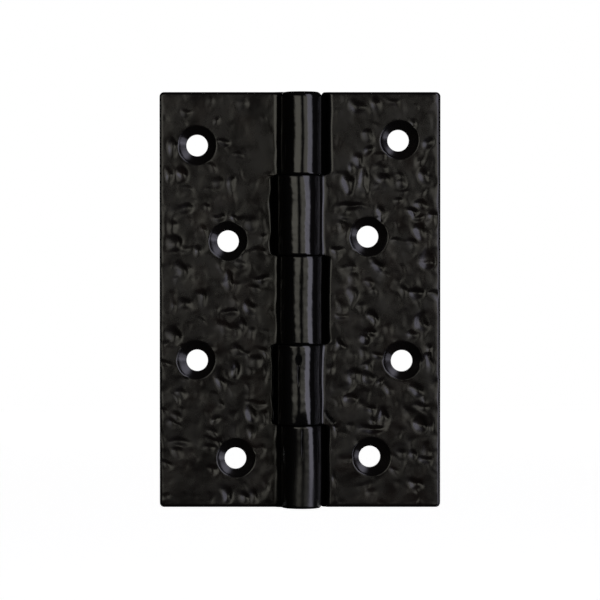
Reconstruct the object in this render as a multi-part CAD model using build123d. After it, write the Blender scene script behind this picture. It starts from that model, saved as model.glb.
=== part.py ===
from build123d import *
import os
from math import radians, sqrt, tan

# A cast butt hinge, laid open flat: two leaves that turn on one riveted pin.
# Millimetres. Z runs up along the pin, X across the open leaves, Y from the front to the back.
# The origin is on the pin's axis at half height. The countersunk faces look along -Y.

# Driving sizes
LEAF_HEIGHT = 102.0
OPEN_WIDTH = 69.0
LEAF_THICKNESS = 3.5
BARREL_DIAMETER = 10.5
BARREL_DRIFT = 0.3  # a barrel is cast this far past the pin, away from its own leaf
PIN_DIAMETER = 5.0
MIDDLE_KNUCKLE = 21.8  # along the pin, from mid gap to mid gap
END_KNUCKLE = 20.35  # along the pin, from the leaf's end to mid gap
KNUCKLE_GAP = 0.14
BARREL_CLEARANCE = 1.6  # from a barrel to the cove it turns in
TURNING_FIT = 0.06  # radial, from the pin to the right leaf
TIGHT_FIT = 0.01  # radial, from the pin to the left leaf
LIP_OVERLAP = 0.35  # how far a cove reaches under the barrel that turns in it
LIP_THICKNESS = 1.65  # of the floor that is left under a cove
WEB_ROUND = 1.3  # hollow corner from a leaf's face up to its own barrel
COVE_ROUND = 1.05  # rolled edge from a leaf's face down into a cove
PLAN_ROUND = 1.1  # corners of the leaves and of their cut-outs, seen from the front
EDGE_ROUND = 0.7  # all round the outside
KNUCKLE_END_ROUND = 0.35  # where knuckle meets knuckle
RIVET_DEPTH = 0.9
RIVET_DIAMETER = 6.6
HOLE_DIAMETER = 5.3
COUNTERSINK_DIAMETER = 9.5
COUNTERSINK_ANGLE = 118.0  # a plain drill's point
COUNTERSINK_STEP = 0.3  # straight wall at the mouth, where the drill went past its full width
END_ROW = 12.0  # from a leaf's end to its nearest hole
ROW_STEP = 24.0
OUTER_COLUMN = 9.5  # from a leaf's free edge to its outer holes
INNER_COLUMN = 17.0  # from the pin's axis to the inner holes

# How far each hole was drilled from its true place, away from the pin and up, from the top row down
LEFT_WANDER = [(0.3, -1.1), (0.7, -0.6), (0.3, 0.1), (-1.1, 0.0)]
RIGHT_WANDER = [(-0.9, 0.1), (-0.4, 0.5), (0.0, 0.0), (0.1, 0.4)]

# The deepest hammer blows on each face: away from the pin, up, radius at the face and depth.
# Their places are those on a leaf this wide and this high, and move with its edges.
DENTED_WIDTH = 34.5
DENTED_HEIGHT = 102.0
LEFT_DENTS = [
    (29.2, 30.2, 1.8, 0.40), (20.3, 28.6, 1.2, 0.22), (17.1, 28.4, 1.4, 0.25), (28.2, 22.2, 1.5, 0.30),
    (31.4, 17.8, 1.5, 0.22), (31.2, 13.7, 2.0, 0.45), (12.3, 18.4, 1.5, 0.32), (29.5, 6.7, 2.0, 0.45),
    (17.4, 3.8, 1.7, 0.32), (28.7, -1.5, 1.4, 0.28), (12.7, -2.0, 1.7, 0.40), (17.3, -3.5, 1.4, 0.25),
    (14.4, -6.1, 1.3, 0.28), (18.8, -7.1, 2.0, 0.38), (31.3, -9.5, 2.2, 0.45), (16.4, -17.9, 1.6, 0.32),
    (19.7, -20.7, 1.6, 0.35), (29.5, -23.1, 1.4, 0.28), (12.2, -28.3, 1.7, 0.40), (30.4, -28.7, 1.3, 0.28),
    (30.3, -37.7, 1.4, 0.28), (18.2, -48.1, 1.7, 0.40),
]
RIGHT_DENTS = [
    (13.4, 47.2, 1.9, 0.32), (16.6, 36.3, 1.5, 0.28), (14.3, 34.1, 1.3, 0.32), (11.6, 27.9, 2.1, 0.45),
    (16.1, 29.8, 1.6, 0.22), (20.2, 29.3, 1.9, 0.35), (30.3, 29.8, 1.6, 0.40), (29.4, 23.3, 1.5, 0.35),
    (19.7, 21.8, 1.3, 0.28), (29.2, 16.4, 2.2, 0.45), (31.1, 9.3, 2.2, 0.45), (18.7, 7.8, 1.7, 0.40),
    (12.8, 6.5, 1.6, 0.30), (12.6, 1.0, 1.8, 0.40), (28.5, 1.3, 1.7, 0.40), (17.9, -4.6, 1.5, 0.32),
    (15.9, -9.9, 1.4, 0.30), (29.7, -6.2, 2.2, 0.45), (12.9, -18.8, 1.9, 0.40), (16.6, -19.1, 1.5, 0.30),
    (12.2, -24.3, 1.4, 0.35), (28.5, -22.4, 1.8, 0.38), (20.2, -28.8, 1.6, 0.35), (29.3, -30.9, 1.8, 0.42),
    (28.0, -45.3, 1.7, 0.38),
]

# Derived sizes
half_height = LEAF_HEIGHT / 2
half_width = OPEN_WIDTH / 2
barrel = BARREL_DIAMETER / 2
face = barrel - LEAF_THICKNESS
cove = barrel + BARREL_DRIFT + BARREL_CLEARANCE
lip = barrel + BARREL_DRIFT - LIP_OVERLAP
cove_floor = barrel - LIP_THICKNESS
play = KNUCKLE_GAP / 2
middle_end = MIDDLE_KNUCKLE / 2
outer_end = half_height - END_KNUCKLE
web_reach = sqrt((barrel + WEB_ROUND) ** 2 - (face - WEB_ROUND) ** 2)
web_centre = Vector(web_reach - BARREL_DRIFT, face - WEB_ROUND)
roll_centre = Vector(sqrt((cove + COVE_ROUND) ** 2 - (face + COVE_ROUND) ** 2), face + COVE_ROUND)
beyond = 5.0  # how far a cut starts outside the leaf
inside = 1.0  # how far a knuckle's root reaches into its leaf
touch = 0.01  # two heights closer than this are the same
root = max(web_centre.X, roll_centre.X) + inside

left_knuckles = [
    (-half_height, -outer_end - play),
    (-middle_end + play, middle_end - play),
    (outer_end + play, half_height),
]
right_knuckles = [(-outer_end + play, -middle_end - play), (middle_end + play, outer_end - play)]
left_cut_outs = [(-outer_end - play, -middle_end + play), (middle_end - play, outer_end + play)]
right_cut_outs = [
    (-half_height - beyond, -outer_end + play),
    (-middle_end - play, middle_end + play),
    (outer_end - play, half_height + beyond),
]


def towards(start, end, distance):
    """The point at a distance from start on the line to end."""
    return start + (end - start) * (distance / (end - start).length)


def rise(section, span):
    """A section in the XY plane, drawn out along the pin over a span."""
    low, high = span
    return Pos(0, 0, low) * extrude(section, amount=high - low)


def knuckle_section():
    """Barrel, flat back and hollow corner of a knuckle whose leaf lies on the +X side."""
    centre = Vector(-BARREL_DRIFT, 0)
    on_face = Vector(web_centre.X, face)
    on_barrel = towards(centre, web_centre, barrel)
    hollow = towards(web_centre, (on_face + on_barrel) * 0.5, WEB_ROUND)
    back = Vector(-BARREL_DRIFT, barrel)
    far_side = Vector(-BARREL_DRIFT - barrel, 0)
    outline = [
        Line(back, (root, barrel)),
        Line((root, barrel), (root, face)),
        Line((root, face), on_face),
        ThreePointArc(on_face, hollow, on_barrel),
        ThreePointArc(on_barrel, far_side, back),
    ]
    return make_face(outline)


def cove_section():
    """What a cut-out takes from a leaf on the +X side: a cove with a rolled edge and a flat floor."""
    on_face = Vector(roll_centre.X, face)
    on_cove = towards(Vector(0, 0), roll_centre, cove)
    roll = towards(roll_centre, (on_face + on_cove) * 0.5, COVE_ROUND)
    on_floor = Vector(sqrt(cove ** 2 - cove_floor ** 2), cove_floor)
    between = towards(Vector(0, 0), (on_cove + on_floor) * 0.5, cove)
    above = face - beyond
    outline = [
        Line((0, above), (roll_centre.X, above)),
        Line((roll_centre.X, above), on_face),
        ThreePointArc(on_face, roll, on_cove),
        ThreePointArc(on_cove, between, on_floor),
        Line(on_floor, (0, cove_floor)),
        Line((0, cove_floor), (0, above)),
    ]
    return make_face(outline)


def cut_out(span):
    """The room for one knuckle of the other leaf, with round corners seen from the front."""
    low, high = span
    plan = Pos(0, (low + high) / 2) * RectangleRounded(2 * roll_centre.X, high - low, PLAN_ROUND)
    window = extrude(Plane.XZ * plan, amount=cove + beyond, both=True)
    return rise(cove_section(), span) & window


def plate():
    """A leaf on the +X side before its cut-outs and knuckles."""
    plan = Pos((lip + half_width) / 2, 0) * RectangleRounded(half_width - lip, LEAF_HEIGHT, PLAN_ROUND)
    body = extrude(Plane.XZ.offset(-barrel) * plan, amount=LEAF_THICKNESS)
    sides = body.edges().group_by(Axis.Y)
    return fillet(sides[0] + sides[-1], EDGE_ROUND)


def knuckle(span):
    """One knuckle of a leaf on the +X side, with its ends rounded over."""
    body = rise(knuckle_section(), span)
    for end in span:
        rim = body.edges().filter_by_position(Axis.Z, end - touch, end + touch)
        if abs(end) < half_height:
            body = fillet(rim.filter_by(GeomType.CIRCLE), KNUCKLE_END_ROUND)
        else:
            body = fillet(rim.filter_by_position(Axis.X, -BARREL_DIAMETER, root - touch), EDGE_ROUND)
    return body


def screw_hole():
    """A countersunk hole, its face at Z = 0 and its axis along Z."""
    hole = HOLE_DIAMETER / 2
    mouth = COUNTERSINK_DIAMETER / 2
    depth = (mouth - hole) / tan(radians(COUNTERSINK_ANGLE / 2))
    shank = Cylinder(hole, 2 * (LEAF_THICKNESS + beyond))
    cone = Pos(0, 0, -COUNTERSINK_STEP - depth / 2) * Cone(hole, mouth, depth)
    step = Pos(0, 0, (beyond - COUNTERSINK_STEP) / 2) * Cylinder(mouth, COUNTERSINK_STEP + beyond)
    return shank + cone + step


def dent(radius, depth):
    """A shallow hammer blow, a cap of a large ball, its rim at Z = 0."""
    ball = (radius ** 2 + depth ** 2) / (2 * depth)
    return Pos(0, 0, ball - depth) * Sphere(ball)


def hole_places(wander):
    """Where a leaf's holes go, across and up, from the top row down."""
    outer = half_width - OUTER_COLUMN
    top = half_height - END_ROW
    rows = [(outer, top), (INNER_COLUMN, top - ROW_STEP), (outer, ROW_STEP - top), (INNER_COLUMN, -top)]
    return [(across + out, up + over) for (across, up), (out, over) in zip(rows, wander)]


def leaf(knuckles, cut_outs, wander, dents, bore):
    """A whole leaf on the +X side."""
    body = plate()
    for span in cut_outs:
        body -= cut_out(span)
    for span in knuckles:
        body += knuckle(span)
    for across, up in hole_places(wander):
        seat = Plane(origin=(across, face, up), x_dir=(1, 0, 0), z_dir=(0, -1, 0))
        body -= seat * screw_hole()
    for across, up, radius, depth in dents:
        place = (across * half_width / DENTED_WIDTH, face, up * LEAF_HEIGHT / DENTED_HEIGHT)
        body -= Plane(origin=place, z_dir=(0, -1, 0)) * dent(radius, depth)
    return body - Cylinder(bore, LEAF_HEIGHT + beyond)


def pin(growth):
    """The pin with its riveted ends, grown all round by a clearance."""
    shank = PIN_DIAMETER / 2 + growth
    head = RIVET_DIAMETER / 2 + growth
    rivet = Cone(shank, head, RIVET_DEPTH)
    body = Cylinder(shank, LEAF_HEIGHT)
    body += Pos(0, 0, half_height - RIVET_DEPTH / 2) * rivet
    body += Pos(0, 0, RIVET_DEPTH / 2 - half_height) * Rot(180, 0, 0) * rivet
    return body


tight_bore = PIN_DIAMETER / 2
turning_bore = PIN_DIAMETER / 2 + TURNING_FIT
left_leaf = mirror(leaf(left_knuckles, left_cut_outs, LEFT_WANDER, LEFT_DENTS, tight_bore), about=Plane.YZ)
left_leaf -= pin(TIGHT_FIT)
right_leaf = leaf(right_knuckles, right_cut_outs, RIGHT_WANDER, RIGHT_DENTS, turning_bore)
hinge_pin = pin(0)

os.makedirs("parts", exist_ok=True)
for name, body in (("left_leaf", left_leaf), ("right_leaf", right_leaf), ("hinge_pin", hinge_pin)):
    export_step(body, f"parts/{name}.step")
    box = body.bounding_box()
    print(name, body.is_valid, len(body.solids()), round(body.volume, 1), box.min, box.max)
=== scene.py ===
"""A cast butt hinge under thick gloss black paint, laid open flat, with a beaten face and a riveted pin.

Each leaf is worked out in millimetres on the +X side of the pin, its front towards -Y, and is then put in the
frame in metres, the left leaf mirrored to the -X side.
"""
import math
from dataclasses import dataclass

import bmesh
import bpy
import numpy as np
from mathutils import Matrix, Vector


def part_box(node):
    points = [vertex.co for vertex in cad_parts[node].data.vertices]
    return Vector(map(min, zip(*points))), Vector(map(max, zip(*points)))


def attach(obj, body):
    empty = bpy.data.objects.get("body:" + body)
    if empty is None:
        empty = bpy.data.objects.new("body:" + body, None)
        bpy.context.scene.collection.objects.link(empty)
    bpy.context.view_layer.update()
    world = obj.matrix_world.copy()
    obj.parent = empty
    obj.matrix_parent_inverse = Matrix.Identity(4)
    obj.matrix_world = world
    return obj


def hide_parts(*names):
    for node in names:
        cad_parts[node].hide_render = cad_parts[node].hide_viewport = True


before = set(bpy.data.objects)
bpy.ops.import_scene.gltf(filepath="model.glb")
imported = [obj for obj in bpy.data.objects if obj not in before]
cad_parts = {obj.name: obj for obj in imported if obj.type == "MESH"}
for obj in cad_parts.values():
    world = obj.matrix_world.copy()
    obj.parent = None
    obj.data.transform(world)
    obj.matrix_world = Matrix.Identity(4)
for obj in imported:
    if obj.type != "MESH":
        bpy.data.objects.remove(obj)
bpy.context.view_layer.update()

# Sizes of the solids, in millimetres
MM = 0.001
leaf_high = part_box("right_leaf")[1]
HALF_WIDTH = leaf_high[0] / MM
BARREL = leaf_high[1] / MM
HALF_HEIGHT = leaf_high[2] / MM
LEAF_THICKNESS = 3.5
FACE = BARREL - LEAF_THICKNESS
BARREL_DRIFT = 0.3
COVE_CLEARANCE = 1.6
COVE = BARREL + BARREL_DRIFT + COVE_CLEARANCE
COVE_ROUND = 1.05
LIP_THICKNESS = 1.65
COVE_FLOOR = BARREL - LIP_THICKNESS
LIP_REACH = 0.45
LIP = BARREL + BARREL_DRIFT - LIP_REACH
LIP_ROUND = 0.7
LIP_TOP_ROUND = (0.9, 1.6)
LIP_FOOT_ROUND = (0.6, 0.7)
WEB_ROUND = 1.3
PLAN_ROUND = 1.1
EDGE_ROUND = 0.7
BARREL_TOP_ROUND = 1.3
BARREL_FOOT_ROUND = 0.6
KNUCKLE_END_ROUND = 0.35
LEAST_END_ROUND = 0.06
OUTER_JOINT = 30.65
INNER_JOINT = 10.9
PLAY = 0.005
PIN_RADIUS = 2.5
TURNING_FIT = 0.06
TIGHT_FIT = 0.01
RIVET_RADIUS = 3.3
RIVET_DEPTH = 0.9

# Screw holes, and their countersinks' cone, stepped rim and softening by paint
HOLE = 2.65
SINK = 4.75
SINK_ANGLE = 118
SINK_SLOPE = math.tan(math.radians(90 - SINK_ANGLE / 2))
SINK_STEP = 0.3
SINK_STEP_RUN = 0.3
SINK_STEP_SOFT = 0.16
SINK_CONE_SOFT = 0.02
SINK_SKIRT = 0.8
NO_DRIFT = (0.0, 0.0)

# Holes and their countersinks' drift, away from the pin and up, in millimetres
LEFT_HOLES = (
    ((25.3, 37.9), NO_DRIFT),
    ((17.7, 14.4), NO_DRIFT),
    ((25.3, -14.9), (0.25, 0.1)),
    ((15.9, -39.0), (-0.2, 0.1)),
)
RIGHT_HOLES = (
    ((24.1, 39.1), (0.35, 0.1)),
    ((16.6, 15.5), (0.2, 0.0)),
    ((25.0, -15.0), (0.15, 0.05)),
    ((17.1, -38.6), (0.5, 0.0)),
)

# The deepest blows on each face: away from the pin, up, half width, half height and depth, in millimetres
LEFT_DENTS = (
    (28.1, 45.7, 1.4, 1.0, 0.20), (20.5, 43.4, 0.9, 0.9, 0.20), (14.3, 48.0, 1.9, 1.5, 0.16),
    (31.6, 37.2, 1.2, 2.6, 0.32), (19.0, 38.6, 1.3, 1.2, 0.25), (15.4, 35.1, 1.6, 1.0, 0.15),
    (32.4, 30.5, 1.0, 1.9, 0.32), (29.2, 30.2, 1.7, 2.2, 0.45), (20.3, 28.6, 1.2, 1.4, 0.25),
    (17.1, 28.4, 1.3, 1.8, 0.28), (28.2, 22.2, 1.9, 1.3, 0.35), (31.4, 17.8, 1.5, 1.8, 0.16),
    (31.2, 13.7, 2.0, 2.2, 0.50), (25.3, 11.8, 1.1, 1.5, 0.25), (19.5, 19.9, 1.1, 1.0, 0.25),
    (16.1, 20.0, 1.0, 1.0, 0.25), (12.3, 18.4, 1.6, 1.7, 0.35), (29.5, 6.7, 1.9, 2.3, 0.50),
    (15.0, 8.9, 1.0, 1.1, 0.25), (17.8, 4.4, 1.4, 2.6, 0.45), (9.9, 5.2, 2.6, 0.9, 0.22),
    (11.6, 2.5, 1.6, 0.9, 0.18), (28.7, -1.3, 1.8, 1.3, 0.32), (12.7, -2.0, 1.4, 2.4, 0.45),
    (17.3, -3.3, 2.0, 1.2, 0.30), (14.4, -6.2, 1.0, 1.8, 0.30), (18.8, -7.1, 2.5, 1.6, 0.40),
    (31.3, -9.5, 2.1, 2.6, 0.50), (15.2, -12.8, 1.7, 1.5, 0.30), (11.4, -15.2, 2.2, 1.3, 0.25),
    (16.4, -17.8, 1.5, 1.9, 0.35), (19.7, -20.7, 1.3, 2.0, 0.40), (29.5, -23.1, 1.7, 1.2, 0.32),
    (12.2, -28.3, 1.6, 2.1, 0.45), (11.4, -25.6, 2.6, 0.9, 0.18), (12.2, -32.6, 1.1, 1.8, 0.25),
    (30.4, -28.7, 1.4, 1.2, 0.30), (32.0, -30.5, 1.2, 1.1, 0.20), (20.9, -29.5, 1.3, 1.1, 0.28),
    (21.8, -32.4, 1.5, 0.9, 0.16), (30.0, -35.1, 2.6, 1.1, 0.22), (30.3, -37.8, 1.5, 1.2, 0.30),
    (22.7, -36.8, 1.5, 1.1, 0.20), (18.2, -48.0, 1.6, 2.0, 0.45), (14.0, -48.8, 1.2, 1.4, 0.30),
    (11.4, -48.1, 1.2, 1.7, 0.35),
)
RIGHT_DENTS = (
    (13.4, 47.2, 2.1, 1.6, 0.35), (18.4, 47.6, 1.6, 1.7, 0.25), (16.4, 40.3, 1.5, 1.3, 0.28),
    (16.6, 36.3, 1.5, 1.5, 0.42), (14.3, 34.3, 1.2, 1.6, 0.45), (12.4, 32.2, 1.0, 1.5, 0.25),
    (15.4, 29.4, 1.2, 3.8, 0.42), (11.6, 27.9, 1.9, 2.4, 0.50), (20.2, 29.3, 2.2, 1.7, 0.42),
    (24.5, 28.3, 1.5, 1.0, 0.22), (19.4, 32.5, 1.9, 1.2, 0.22), (30.3, 29.8, 1.4, 2.0, 0.37),
    (31.2, 38.2, 1.2, 1.3, 0.22), (24.6, 26.2, 1.8, 1.0, 0.14), (12.4, 22.8, 4.0, 0.8, 0.30),
    (11.0, 20.4, 1.8, 0.8, 0.20), (10.9, 16.3, 1.4, 2.8, 0.28), (19.5, 21.6, 1.1, 1.6, 0.35),
    (23.7, 24.0, 1.3, 1.0, 0.25), (29.4, 23.3, 1.8, 1.2, 0.34), (27.5, 21.7, 1.7, 0.9, 0.30),
    (28.6, 20.1, 1.9, 0.7, 0.22), (29.2, 16.4, 1.9, 2.5, 0.50), (32.2, 18.5, 1.0, 1.6, 0.22),
    (31.1, 9.3, 2.1, 2.9, 0.50), (18.7, 7.8, 2.0, 1.4, 0.45), (12.6, 7.6, 1.3, 1.3, 0.30),
    (13.0, 4.8, 1.6, 1.8, 0.35), (16.8, 4.3, 1.5, 1.1, 0.32), (12.6, 1.0, 1.5, 2.2, 0.45),
    (28.5, 1.3, 1.8, 1.6, 0.45), (25.3, 1.6, 1.3, 1.6, 0.20), (10.7, -2.2, 0.9, 1.8, 0.22),
    (9.2, 12.0, 1.2, 0.8, 0.22), (17.9, -4.6, 1.1, 2.0, 0.38), (16.9, -8.1, 1.8, 0.9, 0.40),
    (15.9, -9.9, 1.3, 1.4, 0.46), (9.9, -4.2, 1.7, 0.7, 0.25), (29.7, -6.2, 1.8, 3.0, 0.50),
    (18.6, -13.6, 1.5, 1.1, 0.34), (13.0, -18.8, 2.4, 2.1, 0.45), (16.5, -19.1, 1.3, 1.9, 0.36),
    (19.5, -20.3, 1.1, 1.0, 0.34), (31.2, -11.9, 1.0, 0.9, 0.22), (31.8, -15.3, 1.1, 2.8, 0.44),
    (28.5, -22.3, 2.0, 1.6, 0.50), (12.2, -24.3, 1.5, 1.3, 0.40), (15.4, -13.2, 1.3, 1.2, 0.22),
    (17.4, -27.1, 1.2, 1.2, 0.30), (20.2, -28.8, 1.3, 2.0, 0.40), (17.6, -29.4, 0.9, 1.1, 0.20),
    (17.2, -31.9, 3.6, 1.0, 0.48), (29.3, -30.9, 1.7, 1.9, 0.50), (29.6, -26.5, 2.3, 1.1, 0.25),
    (32.4, -31.1, 0.9, 1.2, 0.20), (12.3, -31.2, 1.2, 1.3, 0.16), (24.8, -37.8, 1.2, 1.3, 0.22),
    (27.6, -38.0, 1.2, 1.3, 0.22), (31.0, -37.0, 1.2, 1.6, 0.30), (30.7, -39.3, 1.6, 1.0, 0.22),
    (28.0, -45.3, 2.1, 1.3, 0.45), (23.0, -41.9, 0.8, 0.9, 0.20), (17.4, -47.3, 1.5, 1.1, 0.20),
    (11.2, -39.3, 1.3, 0.9, 0.16), (8.4, -31.6, 0.8, 0.9, 0.18),
)

# Smoother patches of the face: away from the pin, up, half width and half height, in millimetres
LEFT_SMOOTH = (
    (26.0, -46.0, 7.5, 5.5), (26.5, -29.5, 3.2, 5.5), (28.0, 17.0, 3.5, 3.8), (26.5, -7.0, 3.2, 3.2),
    (11.5, 40.0, 4.5, 13.0),
)
RIGHT_SMOOTH = (
    (22.0, -46.5, 4.2, 4.0), (31.5, -47.0, 3.0, 3.5), (11.0, -46.5, 3.8, 4.0), (10.5, 39.5, 3.5, 6.0),
    (20.0, -2.0, 5.5, 4.5),
)

# A crease that curves away from the fourth knuckle, as a chain of narrow bowls
RIGHT_CREASE = (
    (6.35, -27.8, 0.30, 0.65, 0.30), (6.75, -28.45, 0.34, 0.60, 0.30), (7.20, -29.05, 0.38, 0.52, 0.30),
    (7.70, -29.55, 0.42, 0.45, 0.28), (8.25, -30.0, 0.45, 0.40, 0.24),
)

# Pits and grooves in the barrels, from the front of the barrel round towards the leaf and up, as above
LEFT_PITS = ((-0.62, -34.8, 0.22, 4.4, 0.2),)
RIGHT_PITS = ((-0.30, -14.7, 0.80, 1.15, 0.24), (-0.30, -18.2, 0.26, 2.7, 0.28))

# A knuckle end that is worn away: from the front round towards the leaf, up, half width, reach and depth
RIGHT_WORN = ((0.4, -30.63, 1.2, 3.6, 0.35),)

# How far each knuckle's web or cut-out's edge stands out from its place, from the top down
LEFT_EDGES = (0.2, 0.0, 0.0, -0.5, 0.0)
RIGHT_EDGES = (0.4, 0.1, 0.0, 0.1, -0.1)

# How far each knuckle is oval and its paint is broken up, from the top down
OVAL = (0.12, 0.0, 0.06, 0.0, 0.2)
BROKEN = (0.003, 0.004, 0.004, 0.005, 0.003)

# How far the barrels' thick paint is out of round, and how many times that it lies in from their outline
UNEVEN = 0.045
UNEVEN_INSET = 2

# Seeded waves: the seed's number, the shortest and the longest wave in millimetres, and how many waves
BEND_ACROSS = (1, 3, 8, 16)
BEND_UP = (2, 3, 8, 16)
HOLLOWS = (3, 3.2, 8, 48)
SWELL = (4, 7, 16, 24)
RIPPLE = (5, 2.4, 6.0, 48)
FINE_RIPPLE = (6, 1.0, 2.2, 64)
EDGE_WAVES = (9, 4, 12, 12)
UNEVEN_WAVES = (20, 10, 28, 20)
BROKEN_WAVES = (40, 1.2, 3.2, 48)

# The beaten face: sideways bend and lean of its hollows and the depths of its waves, in millimetres
BEND = 0.2
LEAN_ACROSS = 0.28
LEAN_UP = 0.2
SWELL_DEPTH = 0.04
HOLLOW_DEPTH = 0.085
HOLLOW_LEVEL = 0.3
HOLLOW_POWER = 1.5
RIPPLE_DEPTH = 0.028
FINE_RIPPLE_DEPTH = 0.005
EDGE_WAVER = 0.13

# Bowls: how soft their rims are, and which way a blow slants
SOFT_RIM = 0.14
SHARP_RIM = 0.04
SLANT_ACROSS = 0.8
SLANT_UP = 0.6

# Where the beating fades: at countersinks, outline and barrels, at the top and in smoother patches
SINK_CALM_RUN = 0.5
SINK_CALM_SHARE = 0.6
OUTLINE_CALM_RUN = 1.5
BARREL_CALM_RUN = 1.2
SMOOTH_TOP_START = 18
SMOOTH_TOP_RUN = 16
SMOOTH_PATCH_SHARE = 0.7
CREASE_RUN = 0.3
ROLL_REACH = 1.7

# How coarse the casting is under the paint, and how that fades at countersinks and outline
SMOOTH = 0.0
CAST = 1.0
COARSE = 2.5
SINK_GRAIN = 0.4
SINK_GRAIN_RUN = 0.4
OUTLINE_GRAIN_RUN = 1.2

# Painted shade: its reach from joints and the foot's corner, the depths of marks that it fills, its steps in
# a cove
JOINT_PAINTED_SHADE = 0.2
JOINT_PAINTED_SHADE_START = 1.2
JOINT_SIDE_PAINTED_SHADE = 1.5
FOOT_PAINTED_SHADE = 1.7
FOOT_PAINTED_SHADE_START = 1.3
FOOT_CORNER = 2.6
FOOT_CORNER_RUN = 0.8
PIT_PAINTED_SHADE = 0.03
PIT_PAINTED_SHADE_START = 0.2
WORN_PAINTED_SHADE = 0.2
CREASE_PAINTED_SHADE = 0.1
COVE_PAINTED_SHADE_EARLY = 3
COVE_PAINTED_SHADE_STEPS = 2

# Mesh fineness
STEP = 0.34
WEB_STEPS = 7
FINE_TURN = 0.4
SIDE_BARREL_STEPS = 22
FRONT_BARREL_STEPS = 36
BACK_BARREL_STEPS = 46
BACK_STEPS = 18
ROLL_STEPS = 5
COVE_STEPS = 2
LIP_STEPS = 2
SIDE_STEPS = 12
HOLE_STEPS = 5
EDGE_EASE = 3
PLAN_EASE = 4
JOIN_STEP = 1e-4
OUTER_END = np.array([0.0, 0.04, 0.14, 0.3, 0.5, 0.72, 0.95, 1.2, 1.5])
GAP_END = np.array([0.0, 0.1, 0.35])
FREE_EDGE = np.array([0.0, 0.03, 0.12, 0.28, 0.5, 0.7])
KNUCKLE_END_SHARES = np.array([0.0, 0.15, 0.4, 0.7, 1.0])
CUT_END_SHARES = np.array([0.0, 0.5, 1.0])

# Rings of the plate's grid about a hole: its edge, the countersink's rim, the flat past it and the last one
HOLE_RING = 6
SINK_RING = 12
FLAT_RING = 15
LAST_RING = 22
SINK_RADII = (2.75, 3.1, 3.5, 3.9, 4.25, 4.45, 4.62, 4.8, 5.0)
RING_RADII = np.concatenate([
    np.linspace(0.0, HOLE, HOLE_RING + 1),
    SINK_RADII,
    SINK_RADII[-1] + STEP * np.arange(1, LAST_RING - FLAT_RING + 1),
])

# Paint: its colours, the sizes of its noise to a metre and the limits between which that counts
BLACK = (0.0052, 0.005, 0.005, 1.0)
CAST_BROWN = (0.0145, 0.011, 0.0092, 1.0)
# Painted shade: dull near-black laid over joints, pits, a crease and coves in place of shade and reflections
PAINTED_SHADE_BLACK = (0.004, 0.004, 0.004, 1.0)
PAINT_IOR = 1.5
CLOUD_SCALE = 120.0
PATCH_SCALE = 260.0
PATCH_LIMITS = (0.3, 0.7)
BROWN_SCALE = 150.0
BROWN_LIMITS = (0.5, 0.72)
PEEL_SCALE = 900.0
STREAK_SCALE = 1400.0
STREAK_STRETCH = (1.0, 1.0, 0.07)
SMOOTH_GRAIN = (0.3, 0.0)

# How rough the paint is, what clouds, casting, patches in that and the foot add, and where the foot is dull
PAINT_ROUGHNESS = 0.1
CLOUD_ROUGHNESS = 0.06
CAST_ROUGHNESS = 0.05
PATCH_ROUGHNESS = 0.165
FOOT_ROUGHNESS = 0.12
DULL_FOOT = (-0.034, -0.047)

# The least share of brown on the casting, the streaks' share of the bump, and the bump's depth and strength
BROWN_LEAST = 0.35
STREAK_SHARE = 0.8
PEEL_DEPTH = 0.00004
PEEL_STRENGTH = 0.25

# Floor and studio
PALE = (0.8, 0.8, 0.8, 1.0)
WHITE = (1.0, 1.0, 1.0, 1.0)
DARK_CLOTH = (0.01, 0.01, 0.01, 1.0)
FLOOR_ROUGHNESS = 0.9
FLOOR_GLOW = 0.94
ROOM_LIGHT = 0.25

# Floor behind and below the hinge, and the dark studio's ball about the camera, in metres and degrees
FLOOR_ACROSS = (-1, 1)
FLOOR_DEEP = (0.15, 1.8)
FLOOR_HEIGHT = -0.12
FLOOR_LINES = 9
STUDIO_RADIUS = 2.2
STUDIO_ROUND = (-162, 162)
STUDIO_UP = (-120, 165)
STUDIO_LINES = (61, 58)

# Soft boxes: their distance in metres, their light, and where they fade, in degrees seen from the hinge
PANEL_DISTANCE = 1.15
WARM = (1.0, 0.965, 0.84)
COOL = (0.92, 0.9, 1.08)
SLANT = 6.0
WARM_GAP = (5.0, 14.0)
WARM_LEFT = (-39.0, -33.0)
WARM_LEFT_SLANT = 1.5
WARM_RIGHT = (38.0, 34.0)
WARM_RIGHT_SLANT = 1.2
WARM_FOOT = (-8.5, 1.0)
WARM_MIDDLE = (16.0, 7.0)
WARM_TOP = (30.0, 18.0)
WARM_TOP_SHARE = 0.5
COOL_LEFT = (34.0, 38.0)
COOL_LEFT_SLANT = 1.2
COOL_RIGHT = (66.0, 60.0)
COOL_RIGHT_SLANT = 0.8
COOL_FOOT = (-12.0, -3.0)
COOL_FOOT_SHARE = 0.55
COOL_DIP = (2.0, 3.4)
COOL_DIP_SHARE = 0.2
COOL_TOP = (55.0, 40.0)

# Camera: metres away, degrees above the middle, millimetres of the face that the picture's width shows
CAMERA_DISTANCE = 0.9
CAMERA_RISE = 1.2
SEEN_WIDTH = 147.36
SENSOR_WIDTH = 36.0


@dataclass
class Leaf:
    """What sets a leaf apart from the other one.

    side is 1 for the right leaf and -1 for the left. play shortens the end zones. The lowest zone is a
    knuckle or a cut-out, and the end bores of a riveted leaf widen for the pin's ends. seed is its waves'
    own. smooth_top says how much of the beating is lost at the top, and free_roll how far the free edge is
    rolled down. The tables are those above.
    """
    side: int
    play: float
    knuckle_first: bool
    bore: float
    riveted: bool
    seed: int
    smooth_top: float
    free_roll: float
    holes: tuple
    dents: tuple
    smooth: tuple
    crease: tuple
    pits: tuple
    worn: tuple
    edges: tuple


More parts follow.
